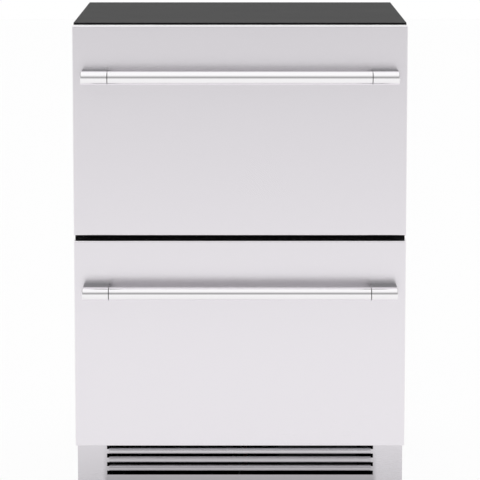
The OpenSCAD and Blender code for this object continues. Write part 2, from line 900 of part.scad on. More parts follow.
module cord_gland() {
    flange_r = 14;
    flange_t = 3;
    neck = 12;
    color(black_paint)
    translate([gland_x, 0, gland_z])
    difference() {
        union() {
            rod_y(flange_r, cover_y, flange_t);
            rod_y(gland_neck_r, cover_y - sheet_t - neck, neck + sheet_t + 1);
        }
        rod_y(gland_bore_r, cover_y - sheet_t - neck - 1, neck + sheet_t + flange_t + 2);
    }
}

module power_board_box() {
    board_w = 150;
    board_d = 110;
    board_h = 45;
    lid_t = 6;
    lid_lip = 2;
    board_x = half_w - 227.5;
    behind_kick = 96;
    color(dark_plastic)
    translate([board_x, pan_y + behind_kick, pan_top]) {
        linear_extrude(height = board_h - lid_t) rounded_rect(board_w, board_d, 4);
        translate([-lid_lip, -lid_lip, board_h - lid_t])
            linear_extrude(height = lid_t)
            rounded_rect(board_w + 2 * lid_lip, board_d + 2 * lid_lip, 6);
    }
}

// The moulded cover in front of an evaporator, with the fan's grille and the return slots
module duct_cover(z0, z1, fan_z_here) {
    grille_r = evap_fan_r + 3;
    ring_t = 2;
    rings = 4;
    side_gap = 0.3;
    color(white_plastic)
    difference() {
        union() {
            difference() {
                intersection() {
                    along_y(duct_y, duct_t) room_section(z0 + side_gap, z1 - side_gap, -side_gap);
                    box([-room_w, duct_y - 1, z0], [room_w, room_back_y, z1]);
                }
                translate([0, 0, fan_z_here]) rod_y(grille_r, duct_y - 1, duct_t + 2);
            }
            translate([0, 0, fan_z_here]) {
                for (k = [1 : rings]) difference() {
                    rod_y(grille_r * k / rings + (k == rings ? 1 : 0), duct_y, duct_t);
                    rod_y(grille_r * k / rings - ring_t, duct_y - 1, duct_t + 2);
                }
                for (a = [0 : 45 : 135]) rotate([0, a, 0])
                    box([-grille_r, duct_y, -ring_t / 2], [grille_r, duct_y + duct_t, ring_t / 2]);
            }
        }
        for (s = [-1, 1], i = [0 : 7]) translate([s * (90 + i * 14), duct_y - 1, z0 + 18])
            cube([6, duct_t + 2, 46]);
    }
}

module upper_duct_cover() {
    duct_cover(upper_z0, upper_z1, upper_fan_z);
}

module lower_duct_cover() {
    duct_cover(step_z, lower_z1, lower_fan_z);
}

// Touch panel under the ceiling of the upper room, its face turned to the user
module control_panel() {
    panel_w = 150;
    panel_d = 70;
    panel_h = 24;
    color(dark_plastic)
    along_x(-panel_w / 2, panel_w)
    polygon([
        [cab_y + 12, upper_z1], [cab_y + 12, upper_z1 - 6], [cab_y + 40, upper_z1 - panel_h],
        [cab_y + 12 + panel_d, upper_z1 - panel_h], [cab_y + 12 + panel_d, upper_z1]
    ]);
}

module room_lamps() {
    lamp_w = 300;
    lamp_d = 16;
    lamp_h = 8;
    color(white_plastic)
    for (z = [upper_z1, lower_z1])
        box([-lamp_w / 2, cab_y + 100, z - lamp_h], [lamp_w / 2, cab_y + 100 + lamp_d, z]);
}

// Slides ----------------------------------------------------------------------------------

// Section of a member with two lips, its back on x = 0 and open towards +X
module channel_section(h, w, lip) {
    difference() {
        translate([0, -h / 2]) square([w, h]);
        translate([slide_t, -h / 2 + slide_t]) square([w - 2 * slide_t, h - 2 * slide_t]);
        translate([w / 2, -h / 2 + lip]) square([w, h - 2 * lip]);
    }
}

// Section of the inner member: brims inside the middle member, a crown against the bracket
module hat_section(crown_x) {
    difference() {
        union() {
            translate([0, -inner_h / 2]) square([slide_t, inner_h]);
            translate([0, -hat_h / 2]) square([crown_x, hat_h]);
        }
        translate([-1, -hat_h / 2 + slide_t]) square([crown_x + 1 - slide_t, hat_h - 2 * slide_t]);
    }
}

// A pair of slide members with their section at a distance from the room's walls
module slide_pair(z, from_wall) {
    both_sides() translate([-room_w / 2 + from_wall, 0, z]) along_y(slide_y, slide_len) children();
}

module slide_outers() {
    color(zinc)
    for (z = [upper_z0 + slide_up, lower_z0 + slide_up])
        slide_pair(z, 0) channel_section(slide_h, outer_w, slide_lip);
}

module slide_middles(z) {
    color(zinc) slide_pair(z, nest) channel_section(middle_h, middle_w, slide_lip);
}

module slide_inners(z) {
    color(zinc) slide_pair(z, 2 * nest) hat_section(slide_w - 2 * nest);
}

module upper_slide_middles() {
    slide_middles(upper_z0 + slide_up);
}

module lower_slide_middles() {
    slide_middles(lower_z0 + slide_up);
}

module upper_slide_inners() {
    slide_inners(upper_z0 + slide_up);
}

module lower_slide_inners() {
    slide_inners(lower_z0 + slide_up);
}

// Drawer fronts ---------------------------------------------------------------------------

// A box whose front edges are rounded, as bent sheet is
module bent_box(z0, grow, r, y1) {
    w = cabinet_w + 2 * grow;
    h = front_h + 2 * grow;
    y0 = panel_y - grow;
    intersection() {
        translate([-w / 2, 0, z0 - grow]) linear_extrude(height = h)
            difference() {
                translate([0, y0]) rounded_rect(w, y1 - y0 + 2 * r, r);
                translate([-1, y1]) square([w + 2, 3 * r]);
            }
        along_x(-w, 2 * w)
            difference() {
                translate([y0, z0 - grow]) rounded_rect(y1 - y0 + 2 * r, h, r);
                translate([y1, z0 - grow - 1]) square([3 * r, h + 2]);
            }
    }
}

module front_skin(z0) {
    color(stainless)
    difference() {
        bent_box(z0, 0, skin_r, panel_back_y);
        bent_box(z0, -skin_t, max(skin_r - skin_t, 0.2), panel_back_y + 1);
    }
}

module front_inner(z0) {
    color(dark_plastic)
    box([-half_w + skin_t, panel_back_y - inner_t, z0 + skin_t],
        [half_w - skin_t, panel_back_y, z0 + front_h - skin_t]);
}

module front_foam(z0) {
    color(foam_tan)
    bent_box(z0, -skin_t, max(skin_r - skin_t, 0.2), panel_back_y - inner_t);
}

// The seal: a foot on the inner panel and a narrower bulb that meets the frame
module gasket_ring(z0, z1, inside, width, y0, y1) {
    along_y(y0, y1 - y0) difference() {
        room_section(z0, z1, inside + width);
        room_section(z0, z1, inside);
    }
}

module gasket(z0, z1) {
    foot_t = 2.5;
    bulb_in = 2;
    seat_gap = 0.3;
    inside = liner_t + 0.5;
    color(seal_grey)
    union() {
        gasket_ring(z0, z1, inside, gasket_w, panel_back_y, panel_back_y + foot_t);
        gasket_ring(z0, z1, inside + bulb_in, gasket_w - 2 * bulb_in,
            panel_back_y + foot_t, cab_y - seat_gap);
    }
}

bar_half = handle_len / 2 - handle_end;
spigot_c = 0.1;

// The tube between the end pieces, its edges chamfered at the seams
module handle_bar(z0) {
    color(stainless)
    translate([0, bar_y, z0 + front_h - handle_drop]) rotate([0, 90, 0])
    difference() {
        translate([0, 0, -bar_half]) rotate_extrude() polygon([
            [0, 0], [bar_d / 2 - seam, 0], [bar_d / 2, seam], [bar_d / 2, 2 * bar_half - seam],
            [bar_d / 2 - seam, 2 * bar_half], [0, 2 * bar_half]
        ]);
        translate([0, 0, -bar_half - 1]) cylinder(r = bar_d / 2 - bar_wall, h = 2 * bar_half + 2);
    }
}

// The end pieces: a round cap with a spigot in the tube, on a flat-sided post
module handle_posts(z0) {
    spigot_len = 20;
    color(stainless)
    translate([0, bar_y, z0 + front_h - handle_drop])
    both_sides() union() {
        translate([-handle_len / 2, 0, 0]) rotate([0, 90, 0]) {
            rotate_extrude() polygon([
                [0, 0], [bar_d / 2 - seam, 0], [bar_d / 2, seam], [bar_d / 2, handle_end - seam],
                [bar_d / 2 - seam, handle_end], [0, handle_end]
            ]);
            translate([0, 0, handle_end - 1])
                cylinder(r = bar_d / 2 - bar_wall - spigot_c, h = spigot_len + 1);
        }
        box([-handle_len / 2 + seam, 0, -post_h / 2],
            [-handle_len / 2 + handle_end - seam, handle_out, post_h / 2]);
    }
}

// Bins ------------------------------------------------------------------------------------

// An upright block with round corners, from y0 to y1 and z0 to z1, drawn in by a wall
module tub(y0, y1, z0, z1, wall) {
    translate([-bin_w / 2 + wall, y0 + wall, z0])
        linear_extrude(height = z1 - z0)
        rounded_rect(bin_w - 2 * wall, y1 - y0 - 2 * wall, bin_r - wall);
}

// The ribs that hold the divider in the front and rear walls
module divider_guides(y0, y1, z0, z1) {
    for (s = [-1, 1], y = [y0 + bin_t - 1, y1 - bin_t - guide_t])
        box([s * (divider_t / 2 + guide_c + guide_t / 2) - guide_t / 2, y, z0],
            [s * (divider_t / 2 + guide_c + guide_t / 2) + guide_t / 2, y + guide_t + 1, z1]);
}

module rim(z1) {
    difference() {
        translate([-rim_side, bin_y - rim_front, z1 - rim_t]) linear_extrude(height = rim_t)
            rounded_rect(2 * rim_side, bin_d + 2 * rim_front, bin_r);
        tub(bin_y, bin_y + bin_d, z1 - rim_t - 1, z1 + 1, bin_t);
    }
}

module upper_bin() {
    z0 = upper_z0 + bin_floor_gap;
    z1 = z0 + bin_h;
    color(bin_plastic)
    union() {
        difference() {
            tub(bin_y, bin_y + bin_d, z0, z1, 0);
            tub(bin_y, bin_y + bin_d, z0 + bin_t, z1 + 1, bin_t);
        }
        divider_guides(bin_y, bin_y + bin_d, z0 + 1, z1 - divider_drop);
        rim(z1);
    }
}

// The lower bin's rear stands above the step of the room
module lower_bin() {
    z0 = lower_z0 + bin_floor_gap;
    z1 = z0 + bin_h;
    color(bin_plastic)
    union() {
        difference() {
            union() {
                tub(bin_y, bin_y + bin_d, bin_low_z, z1, 0);
                tub(bin_y, bin_low_y, z0, z1, 0);
            }
            tub(bin_y, bin_y + bin_d, bin_low_z + bin_t, z1 + 1, bin_t);
            tub(bin_y, bin_low_y, z0 + bin_t, z1 + 1, bin_t);
        }
        divider_guides(bin_y, bin_y + bin_d, bin_low_z + 1, z1 - divider_drop);
        rim(z1);
    }
}

divider_c = 0.3;

module upper_divider() {
    z0 = upper_z0 + bin_floor_gap;
    color(white_plastic)
    box([-divider_t / 2, bin_y + bin_t + divider_c, z0 + bin_t],
        [divider_t / 2, bin_y + bin_d - bin_t - divider_c, z0 + bin_h - divider_drop]);
}

module lower_divider() {
    z0 = lower_z0 + bin_floor_gap + bin_t;
    z1 = lower_z0 + bin_floor_gap + bin_h - divider_drop;
    y0 = bin_y + bin_t + divider_c;
    y1 = bin_y + bin_d - bin_t - divider_c;
    low_y = bin_low_y - bin_t - divider_c;
    low_z = bin_low_z + bin_t + divider_c;
    color(white_plastic)
    along_x(-divider_t / 2, divider_t)
    polygon([[y0, z0], [low_y, z0], [low_y, low_z], [y1, low_z], [y1, z1], [y0, z1]]);
}

// A pair of bent plates that join the front, the slides and the bin's rim
module brackets(room_z0) {
    slide_z = room_z0 + slide_up;
    rim_z = room_z0 + bin_floor_gap + bin_h - rim_t;
    plate_z = slide_z - hat_h / 2 - 2;
    tab = 20;
    color(zinc)
    both_sides() union() {
        box([-bracket_x, panel_back_y, plate_z], [-bracket_x + bracket_t, slide_y + slide_len, rim_z]);
        box([-bracket_x, panel_back_y, plate_z], [-bracket_x + tab, panel_back_y + bracket_t, rim_z]);
        box([-bracket_x - bracket_flange, bin_y, rim_z - bracket_t],
            [-bracket_x + bracket_t, slide_y + slide_len, rim_z]);
    }
}

// The two drawers -------------------------------------------------------------------------

module upper_front_skin() {
    front_skin(upper_front_z);
}

module upper_front_inner() {
    front_inner(upper_front_z);
}

module upper_front_foam() {
    front_foam(upper_front_z);
}

module upper_gasket() {
    gasket(upper_z0, upper_z1);
}

module upper_handle_bar() {
    handle_bar(upper_front_z);
}

module upper_handle_posts() {
    handle_posts(upper_front_z);
}

module upper_brackets() {
    brackets(upper_z0);
}

module lower_front_skin() {
    front_skin(lower_front_z);
}

module lower_front_inner() {
    front_inner(lower_front_z);
}

module lower_front_foam() {
    front_foam(lower_front_z);
}

module lower_gasket() {
    gasket(lower_z0, lower_z1);
}

module lower_handle_bar() {
    handle_bar(lower_front_z);
}

module lower_handle_posts() {
    handle_posts(lower_front_z);
}

module lower_brackets() {
    brackets(lower_z0);
}

top_panel();
side_panels();
back_panel();
cabinet_floor();
foam_insulation();
upper_liner();
lower_liner();
front_frame();
base_pan();
kick_plate();
air_baffle();
condenser_coil();
fan_shroud();
compressor();
compressor_mounts();
relay_cover();
drip_tray();
drain_tube();
filter_drier();
refrigerant_lines();
rear_cover();
cord_gland();
power_board_box();
upper_evaporator();
lower_evaporator();
upper_duct_cover();
lower_duct_cover();
fan_motors();
control_panel();
room_lamps();
slide_outers();
upper_slide_middles();
lower_slide_middles();
condenser_fan();
upper_evaporator_fan();
lower_evaporator_fan();
foot_front_left();
foot_front_right();
foot_rear_left();
foot_rear_right();
upper_front_skin();
upper_front_inner();
upper_front_foam();
upper_gasket();
upper_handle_bar();
upper_handle_posts();
upper_bin();
upper_divider();
upper_brackets();
upper_slide_inners();
lower_front_skin();
lower_front_inner();
lower_front_foam();
lower_gasket();
lower_handle_bar();
lower_handle_posts();
lower_bin();
lower_divider();
lower_brackets();
lower_slide_inners();
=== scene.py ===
# %% [markdown]
# # Undercounter drawer refrigerator
# Two wide drawers behind brushed stainless fronts, each pulled by a round bar. The fronts, the
# cabinet and everything inside come from the CAD model at their real size. This file gives them
# their finish, adds the small pieces that only the eye needs, and sets up a plain studio.

# %% Load the frame
import json
import math
import bmesh
import bpy
import numpy as np
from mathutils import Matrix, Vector


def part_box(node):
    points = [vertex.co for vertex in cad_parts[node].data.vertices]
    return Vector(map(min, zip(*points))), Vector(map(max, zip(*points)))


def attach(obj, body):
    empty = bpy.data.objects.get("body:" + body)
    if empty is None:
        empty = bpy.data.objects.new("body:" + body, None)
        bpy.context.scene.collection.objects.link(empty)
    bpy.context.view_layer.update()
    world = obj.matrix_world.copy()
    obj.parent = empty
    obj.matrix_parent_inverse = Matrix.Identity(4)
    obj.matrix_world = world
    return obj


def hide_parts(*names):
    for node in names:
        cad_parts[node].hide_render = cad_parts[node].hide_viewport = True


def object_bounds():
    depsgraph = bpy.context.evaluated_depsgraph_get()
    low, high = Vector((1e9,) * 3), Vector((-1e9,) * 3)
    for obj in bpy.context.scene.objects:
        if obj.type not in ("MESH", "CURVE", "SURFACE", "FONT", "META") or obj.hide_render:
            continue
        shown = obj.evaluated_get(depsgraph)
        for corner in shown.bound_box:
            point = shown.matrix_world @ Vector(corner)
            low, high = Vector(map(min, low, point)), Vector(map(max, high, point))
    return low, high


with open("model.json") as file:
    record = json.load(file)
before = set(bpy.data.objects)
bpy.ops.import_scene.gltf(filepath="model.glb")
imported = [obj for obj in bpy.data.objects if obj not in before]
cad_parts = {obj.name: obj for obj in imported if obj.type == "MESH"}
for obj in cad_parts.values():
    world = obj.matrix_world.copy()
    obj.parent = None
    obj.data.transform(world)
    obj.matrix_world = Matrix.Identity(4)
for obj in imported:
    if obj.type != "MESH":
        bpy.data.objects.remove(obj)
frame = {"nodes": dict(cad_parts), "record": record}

cad_low, cad_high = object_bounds()
print("CAD box in metres:", [round(b - a, 4) for a, b in zip(cad_low, cad_high)])

# %% [markdown]
# ## Places
# Most places are read from the frame, so that a piece stays on what carries it when the model's
# sizes change. The frame gives only the box of each node, so places inside a box are numbers. A
# millimetre is easier to read than a metre there, so short lengths are written as a number of MM.

# %% Places from the frame
MM = 0.001
NODES = frame["nodes"]


def span(node):
    """Lowest and highest corner of a CAD node, as two numpy arrays."""
    low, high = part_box(node)
    return np.array(low), np.array(high)


fronts_face = span("upper_front_skin")[0][1]
cabinet_front = span("front_frame")[0][1]
print("fronts' face at y", round(fronts_face, 4), "and cabinet's at y", round(cabinet_front, 4))

# %% [markdown]
# ## Camera
# The photo was taken from a little above, straight on, with a long lens that was level and shifted
# down. A shifted lens would push the part out of every other view, so this camera is unshifted and
# looks down by a few degrees. Its four numbers were fitted to twenty-four corners read off the
# photo. It meets the fronts, bars and slots to within three pixels, and only the rear corners of
# the top lie further out.

# %% Camera
CAMERA_AHEAD = 5.070
CAMERA_ABOVE = 0.369
CAMERA_DOWN = math.radians(8.542)
CAMERA_FOCAL_PX = 2837
PICTURE_PX = 480
SENSOR = 36

camera_data = bpy.data.cameras.new("camera")
camera_data.sensor_width = SENSOR
camera_data.lens = CAMERA_FOCAL_PX * SENSOR / PICTURE_PX
camera = bpy.data.objects.new("camera", camera_data)
camera.location = (0, cabinet_front - CAMERA_AHEAD, cad_high[2] + CAMERA_ABOVE)
camera.rotation_euler = (math.pi / 2 - CAMERA_DOWN, 0, 0)
bpy.context.collection.objects.link(camera)
bpy.context.scene.camera = camera
print("lens", round(camera_data.lens, 1), "mm, camera at", [round(v, 3) for v in camera.location])

# %% [markdown]
# ## Shader maths
# A material is easier to read as a sum than as a list of links. This class holds one output of a
# node, and a sum or a product of two of them adds a Math node.


# %% A number on its way through a material
class Signal:
    """One socket of a material. Plus, minus and times add a Math node, in either order."""

    def __init__(self, paint, socket):
        self.paint = paint
        self.socket = socket

    def _math(self, operation, first, second):
        return self.paint.node("ShaderNodeMath", {"operation": operation}, {0: first, 1: second})

    def __add__(self, other):
        return self._math("ADD", self, other)

    def __radd__(self, other):
        return self._math("ADD", other, self)

    def __sub__(self, other):
        return self._math("SUBTRACT", self, other)

    def __rsub__(self, other):
        return self._math("SUBTRACT", other, self)

    def __mul__(self, other):
        return self._math("MULTIPLY", self, other)

    def __rmul__(self, other):
        return self._math("MULTIPLY", other, self)


# %% [markdown]
# ## A mixing bench
# Materials and the world are both made of nodes. The bench holds such a tree and adds a node in
# one call: its kind, then its settings, then the values or links of its sockets.


# %% A mixing bench
class Bench:
    """A tree of shader nodes. node() adds any node to it."""

    def __init__(self, tree):
        self.tree = tree
        self.tree.nodes.clear()

    def node(self, kind, settings=None, inputs=None, output=0):
        """Adds a node, sets its settings and then its sockets, and gives one of its outputs."""
        made = self.tree.nodes.new(kind)
        for name, value in (settings or {}).items():
            if name == "stops":
                ramp = made.color_ramp.elements
                while len(ramp) < len(value):
                    ramp.new(0.5)
                for stop, (place, colour) in zip(ramp, value):
                    stop.position = place
                    stop.color = (*colour, 1)
            else:
                setattr(made, name, value)
        for socket, value in (inputs or {}).items():
            if isinstance(value, Signal):
                self.tree.links.new(value.socket, made.inputs[socket])
            else:
                made.inputs[socket].default_value = value
        return Signal(self, made.outputs[output])

    def place(self, stretch=(1, 1, 1)):
        """The surface's own coordinates in metres, stretched along the axes."""
        where = self.node("ShaderNodeTexCoord", output="Object")
        return self.node("ShaderNodeMapping", inputs={"Vector": where, "Scale": stretch})

    def noise(self, scale, stretch=(1, 1, 1), detail=2.0):
        """Smooth noise from 0 to 1, with scale patches a metre."""
        return self.node("ShaderNodeTexNoise", inputs={
            "Vector": self.place(stretch), "Scale": scale, "Detail": detail})

    def between(self, mask, colour_a, colour_b):
        """colour_a where mask is 0, colour_b where it is 1. Each is three numbers or a pattern."""
        a, b = (c if isinstance(c, Signal) else tuple(c) + (1,) for c in (colour_a, colour_b))
        return self.node("ShaderNodeMix", {"data_type": "RGBA"}, {0: mask, 6: a, 7: b}, output=2)

    def along(self, axis):
        """One coordinate of the surface in metres: 0, 1 or 2 for X, Y or Z."""
        where = self.node("ShaderNodeTexCoord", output="Object")
        return self.node("ShaderNodeSeparateXYZ", inputs={0: where}, output=axis)

    def off(self, axis, middle):
        """Distance in metres from a place on one axis, to either side."""
        return self.node("ShaderNodeMath", {"operation": "ABSOLUTE"},
                         {0: self.along(axis) - middle})

    def step(self, value, start, end):
        """0 where value is below start and 1 where it is above end, straight between them."""
        return self.node("ShaderNodeMapRange", inputs={
            "Value": value, "From Min": start, "From Max": end})

    def bump(self, height, depth, strength=1.0):
        """A surface with that height, depth metres deep."""
        return self.node("ShaderNodeBump", inputs={
            "Height": height, "Distance": depth, "Strength": strength})


# %% [markdown]
# ## A material in the making
# Every finish here is one Principled shader with a few patterns in front of it. The patterns read
# the object's own coordinates, which are metres in this frame, so a brushed line is as fine on the
# screen as on the sheet.


# %% A material in the making
class Paint(Bench):
    def __init__(self, name, **fixed):
        self.material = bpy.data.materials.new(name)
        self.material.use_nodes = True
        super().__init__(self.material.node_tree)
        self.output = self.tree.nodes.new("ShaderNodeOutputMaterial")
        self.shader = self.tree.nodes.new("ShaderNodeBsdfPrincipled")
        self.tree.links.new(self.shader.outputs[0], self.output.inputs["Surface"])
        for socket, value in fixed.items():
            label = socket.replace("_", " ").title().replace("Ior", "IOR")
            self.shader.inputs[label].default_value = value

    def finish(self, **patterns):
        """Joins each pattern to the shader's socket of that name."""
        for socket, signal in patterns.items():
            label = socket.replace("_", " ").title()
            self.tree.links.new(signal.socket, self.shader.inputs[label])
        return self.material


# %% [markdown]
# ## Brushed stainless steel
# A belt has drawn fine lines along the sheet, here from side to side. The lines scatter light
# across them and little along them, so the sheet mirrors its surroundings as a soft blur. The
# lines are noise stretched along X. They move the roughness a little and tilt the surface by far
# less than a hair's width. Where the sheet is bent back at the fronts' edges the press has
# smoothed the lines, and a brighter colour there is a painted highlight on the rim. The bend lies
# behind the flat face, so its mask comes from the depth along Y. The kick plate is painted darker
# towards the floor as painted shade, most of it across the slotted middle, and is a little rougher
# there.


# %% Brushed stainless steel
STEEL = (0.92, 0.89, 0.93)
# The brighter steel is a painted highlight on the fronts' bends, and the colour of the bars' and
# caps' polished fronts.
BRIGHT_STEEL = (0.97, 0.955, 0.97)
BRUSH_LINES = 1500
BRUSH_STRETCH = (0.012, 1, 1)
BEND_START = 0.3 * MM
BEND_FADE = 0.5 * MM
BEND_ROUGHNESS = 0.1
# The next three numbers shape the painted shade on the kick plate. It is strongest across the
# slotted middle, and at the floor the colour falls to the last number's share of itself.
LOUVRE_HALF = 244 * MM
LOUVRE_FADE = 8 * MM
PAINTED_SHADE_LEVEL = 0.45


def brushed(name, colour, roughness, lines=BRUSH_LINES, bend_at=None, painted_shade_below=None):
    """Metal brushed along X, with slow patches in its colour. It is smooth behind the depth
    bend_at, with a painted highlight there, and it has painted shade and a little more roughness
    from a given height down to the floor."""
    paint = Paint(name, metallic=1.0)
    brush = paint.noise(lines, stretch=BRUSH_STRETCH, detail=3)
    cloud = paint.noise(2.5, detail=1)
    darker = tuple(c * 0.98 for c in colour)
    tone = paint.between(cloud * 0.7 + brush * 0.3, darker, colour)
    rough = brush * 0.04 + cloud * 0.03 + (roughness - 0.035)
    if bend_at is not None:
        # Painted highlight: the bend takes the brighter steel colour and a lower roughness.
        bend = paint.step(paint.along(1), bend_at, bend_at + BEND_FADE)
        tone = paint.between(bend, tone, BRIGHT_STEEL)
        rough = rough * (1 - bend) + bend * BEND_ROUGHNESS
    if painted_shade_below is not None:
        # Painted shade towards the floor, strongest across the slotted middle. It also adds a
        # little roughness.
        louvre = 1 - paint.step(paint.off(0, 0), LOUVRE_HALF, LOUVRE_HALF + LOUVRE_FADE)
        painted_shade = (1 - paint.step(paint.along(2), 0, painted_shade_below)) * (louvre * 0.7 + 0.3)
        tone = paint.between(painted_shade, tone, tuple(c * PAINTED_SHADE_LEVEL for c in colour))
        rough = rough + painted_shade * 0.06
    return paint.finish(base_color=tone, roughness=rough, normal=paint.bump(brush, 0.2e-6))


kick_top = span("kick_plate")[1][2]
steel = brushed("stainless", STEEL, 0.26, bend_at=fronts_face + BEND_START)
kick_steel = brushed("stainless_kick", (0.80, 0.775, 0.81), 0.26, painted_shade_below=kick_top)
print("made", steel.name, kick_steel.name)

# %% [markdown]
# ## Bars and posts
# The handle's end pieces are one casting each: a round cap that is ground and brushed to match the
# bar, and the post behind it, which is rougher and darker, has a blasted grain, and reads much
# darker in the photo. One material does both, because the change lies at one depth on the casting:
# its mask is 0 in front of that depth and 1 behind it. The bar is made the same way. Its front is
# polished, and its back is rougher and painted darker as shade, which the front behind it mirrors
# as a shade. The groove where bar and cap meet gets a thin line of painted shade.

# %% Bars and posts
BAR_FRONT, BAR_BACK = (corner[1] for corner in span("upper_handle_bar"))
BAR_END = span("upper_handle_bar")[1][0]
CHANGE_HALF = 1 * MM
GROOVE_INNER = 0.4 * MM
GROOVE_OUTER = 0.9 * MM
# The groove's painted shade has this colour.
GROOVE_SHADE = (0.22, 0.22, 0.22)


def part_polished(name, rear_colour, change):
    """Bright brushed metal in front of the depth change, and rougher blasted metal in a darker
    colour behind it, which on the bar is painted shade. A thin ring of painted shade marks the
    groove.
    """
    paint = Paint(name, metallic=1.0)
    behind = paint.step(paint.along(1), change - CHANGE_HALF, change + CHANGE_HALF)
    size_x = paint.off(0, 0)
    # A thin ring of painted shade in the groove where bar and cap meet, at the bar's ends.
    groove_shade = paint.step(size_x, BAR_END - GROOVE_OUTER, BAR_END - GROOVE_INNER) * (
        1 - paint.step(size_x, BAR_END + GROOVE_INNER, BAR_END + GROOVE_OUTER))
    brush = paint.noise(BRUSH_LINES, stretch=BRUSH_STRETCH, detail=3)
    blast = paint.noise(1800, detail=2)
    # Behind the change the colour turns darker. On the bar this darker colour is painted shade.
    tone = paint.between(behind, BRIGHT_STEEL, rear_colour)
    return paint.finish(
        base_color=paint.between(groove_shade, tone, GROOVE_SHADE),
        roughness=brush * 0.04 + behind * (blast * 0.1 + 0.22) + 0.1,
        normal=paint.bump(blast * behind, 10e-6))


# The bar's back, behind this depth, is painted darker as shade, which the front behind the bar
# mirrors.
bar_shade_depth = (BAR_FRONT + BAR_BACK) / 2 + 3 * MM
post_metal = part_polished("cast_post", (0.30, 0.30, 0.31), BAR_BACK - 0.5 * MM)
bar_steel = part_polished("stainless_bar", (0.52, 0.515, 0.52), bar_shade_depth)
bar_thick = round((BAR_BACK - BAR_FRONT) / MM, 1)
print("made", post_metal.name, "and", bar_steel.name, "for a bar", bar_thick, "mm thick")

# %% [markdown]
# ## Painted and coated steel
# Powder paint melts into a skin with shallow dimples, like the peel of an orange. Zinc-coated
# sheet shows flat crystals of different greys, which a Voronoi pattern gives.


# %% Painted and coated steel
def powder_paint(name, colour, roughness, gloss):
    """Powder paint with its dimples and a slow change of roughness. gloss is the strength of its
    reflections."""
    paint = Paint(name, specular_ior_level=gloss)
    dimples = paint.noise(900, detail=2)
    patches = paint.noise(7, detail=2)
    lighter = tuple(c * 1.12 for c in colour)
    return paint.finish(
        base_color=paint.between(patches, colour, lighter),
        roughness=patches * 0.08 + dimples * 0.05 + (roughness - 0.06),
        normal=paint.bump(dimples, 12e-6))


def zinc_sheet(name, colour, roughness):
    """Zinc-coated steel with its crystals."""
    paint = Paint(name, metallic=1.0)
    crystals = paint.node("ShaderNodeTexVoronoi", {"feature": "F1"},
                          {"Vector": paint.place(), "Scale": 160.0}, output="Color")
    grey = paint.node("ShaderNodeRGBToBW", inputs={0: crystals})
    haze = paint.noise(12, detail=3)
    darker = tuple(c * 0.72 for c in colour)
    return paint.finish(
        base_color=paint.between(grey * 0.7 + haze * 0.3, darker, colour),
        roughness=grey * 0.12 + haze * 0.08 + (roughness - 0.1),
        normal=paint.bump(haze, 20e-6))


dark_paint = powder_paint("dark_paint", (0.047, 0.047, 0.047), 0.6, 0.12)
black_paint = powder_paint("black_paint", (0.003, 0.003, 0.004), 0.5, 0.2)
zinc = zinc_sheet("zinc_steel", (0.60, 0.62, 0.64), 0.38)
print("made", dark_paint.name, black_paint.name, zinc.name)

# %% [markdown]
# ## Plastics and rubber
# Moulded plastic has the fine grain of its mould and a faint unevenness from cooling. The bins are
# a clearer plastic, so they get more gloss. The seals and the mats are soft and matt. The covers
# of the lamps in the compartments give off a little light, which shows once a drawer is out.


# %% Plastics and rubber
def moulded(name, colour, roughness, grain=2200, depth=8e-6, glow=0.0):
    """Moulded plastic with its grain. glow is the strength of the light it gives off."""
    paint = Paint(name, specular_ior_level=0.5, emission_color=(1.0, 0.97, 0.93, 1),
                  emission_strength=glow)
    fine = paint.noise(grain, detail=2)
    slow = paint.noise(5, detail=2)
    darker = tuple(c * 0.95 for c in colour)
    return paint.finish(
        base_color=paint.between(slow * 0.7 + fine * 0.3, darker, colour),
        roughness=fine * 0.06 + slow * 0.06 + (roughness - 0.06),
        normal=paint.bump(fine, depth))


white_plastic = moulded("white_plastic", (0.76, 0.78, 0.79), 0.34)
bin_plastic = moulded("bin_plastic", (0.58, 0.63, 0.68), 0.22, grain=400, depth=4e-6)
dark_plastic = moulded("dark_plastic", (0.028, 0.028, 0.030), 0.48)
rubber = moulded("seal_rubber", (0.045, 0.045, 0.047), 0.72, grain=1200, depth=20e-6)
lamp_plastic = moulded("lamp_diffuser", (0.80, 0.80, 0.80), 0.4, glow=7.0)
plastics = (white_plastic, bin_plastic, dark_plastic, rubber, lamp_plastic)
print("made", *(plastic.name for plastic in plastics))

# %% [markdown]
# ## Fins, copper and foam
# Fins are plain rolled aluminium. Copper lines have darkened in patches where they were heated for
# brazing. The foam is a fine closed-cell one, which only shows where a panel is open.


# %% Fins, copper and foam
def tarnished_copper(name):
    """Copper with darker and redder patches of tarnish."""
    paint = Paint(name, metallic=1.0)
    patches = paint.noise(45, detail=4)
    fine = paint.noise(600, detail=2)
    tarnish = paint.node("ShaderNodeValToRGB", {"stops": [
        (0.35, (0.72, 0.36, 0.22)), (0.55, (0.60, 0.27, 0.15)), (0.8, (0.33, 0.15, 0.09))]},
        {0: patches})
    return paint.finish(
        base_color=tarnish,
        roughness=patches * 0.3 + fine * 0.05 + 0.12,
        normal=paint.bump(fine, 6e-6))


def closed_cells(name):
    """Insulating foam with its cells."""
    paint = Paint(name)
    cells = paint.node("ShaderNodeTexVoronoi", {"feature": "F1"},
                       {"Vector": paint.place(), "Scale": 900.0})
    slow = paint.noise(9, detail=3)
    return paint.finish(
        base_color=paint.between(slow, (0.72, 0.62, 0.34), (0.80, 0.72, 0.46)),
        roughness=slow * 0.1 + 0.8,
        normal=paint.bump(cells, 150e-6))


fins = brushed("fin_aluminium", (0.80, 0.81, 0.82), 0.34, lines=900)
copper = tarnished_copper("copper")
foam = closed_cells("foam")
print("made", fins.name, copper.name, foam.name)

# %% [markdown]
# ## Finishes on the CAD pieces
# The model's record names a finish for each piece, so the pieces take theirs from that list. The
# bars, the posts, the kick plate and the lamps then get the finer finishes made above.

